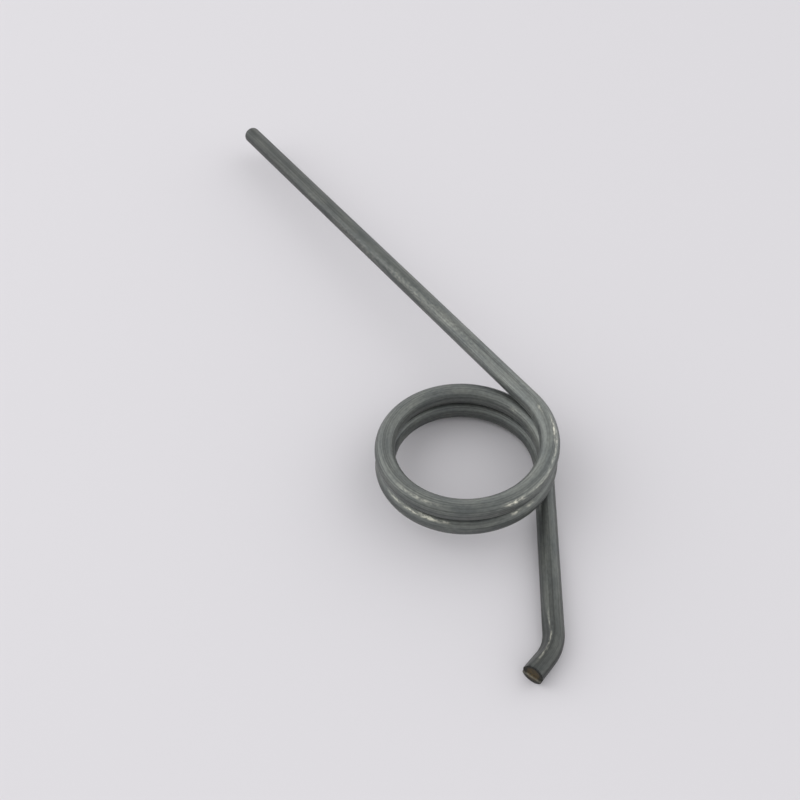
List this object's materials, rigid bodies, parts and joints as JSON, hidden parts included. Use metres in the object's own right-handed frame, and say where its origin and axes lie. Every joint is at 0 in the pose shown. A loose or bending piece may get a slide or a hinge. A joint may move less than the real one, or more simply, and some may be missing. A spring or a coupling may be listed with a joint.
{
  "type": "torsion spring",
  "caption": "One-piece wire torsion spring: a short close-wound right-hand coil with a long straight leg and a short leg that ends in a slight hook.",
  "frame": {"origin": "on the coil's axis, in the plane of the wire's lowest point, under the hooked end", "axes": "+Z along the coil's axis towards the long leg's turn; the short leg runs along -Y and the long leg towards -X and +Y"},
  "size_m": [0.0946, 0.1906, 0.0186],
  "materials": {
    "spring_steel": "drawn, phosphated and oiled, dull dark grey"
  },
  "bodies": {
    "root": {"spring_wire": "spring_steel"}
  },
  "joints": []
}
